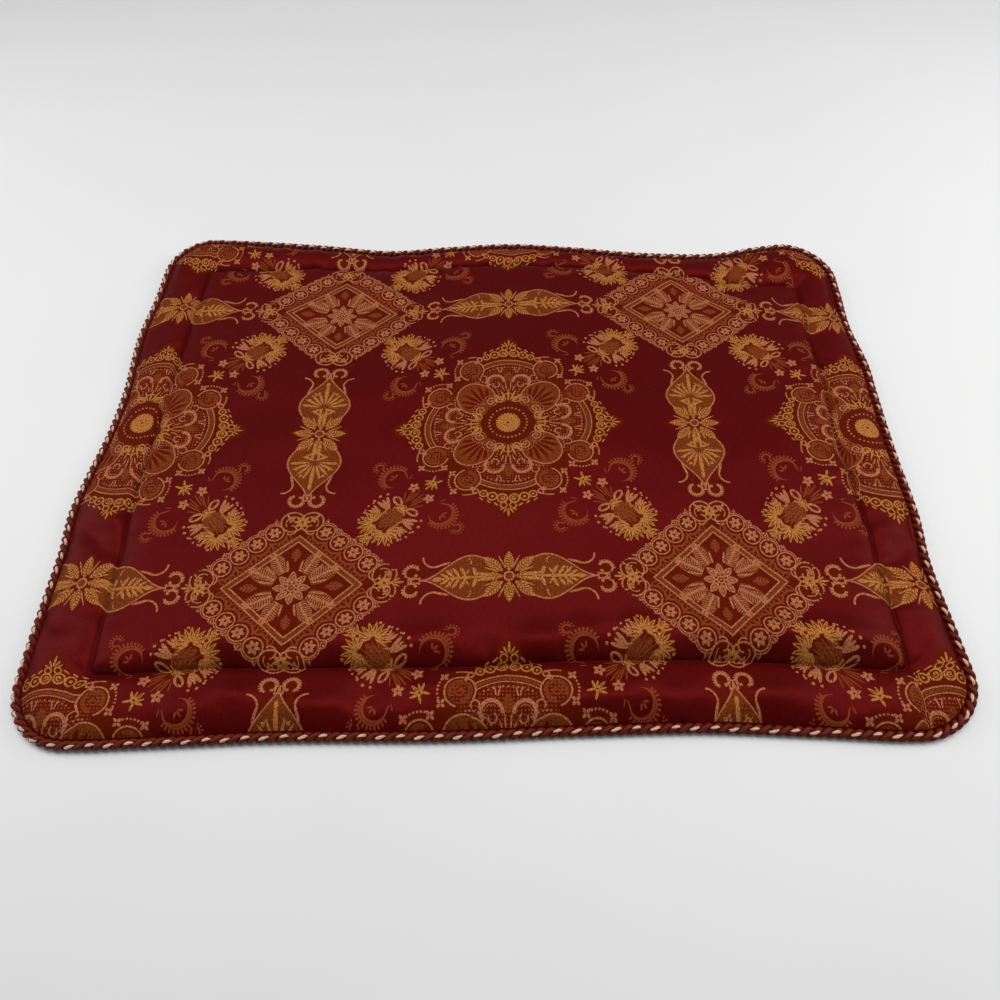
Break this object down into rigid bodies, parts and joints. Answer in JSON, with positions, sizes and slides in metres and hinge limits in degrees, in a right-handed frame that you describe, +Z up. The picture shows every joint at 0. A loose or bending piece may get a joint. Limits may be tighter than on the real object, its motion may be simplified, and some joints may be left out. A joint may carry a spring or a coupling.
{
  "type": "pillow sham",
  "caption": "Rectangular quilted pillow sham lying flat, with a crowned centre, a sewn channel, a padded flange, an envelope back and a twisted rope edging.",
  "frame": {"origin": "middle of the bounding rectangle, on the surface that the sham lies on", "axes": "+X along the long side, +Y towards the pulled-in back edge, +Z up out of the patterned face"},
  "size_m": [0.7517, 0.5948, 0.0264],
  "materials": {
    "jacquard": "burgundy satin ground with woven copper, gold and brown medallions",
    "backing": "plain burgundy cotton blend",
    "rope": "twisted burgundy yarn with a cream strand"
  },
  "bodies": {
    "root": {"front_panel": "jacquard", "back_panel_outer": "backing", "back_panel_inner": "backing", "rope_edging": "rope"}
  },
  "joints": []
}
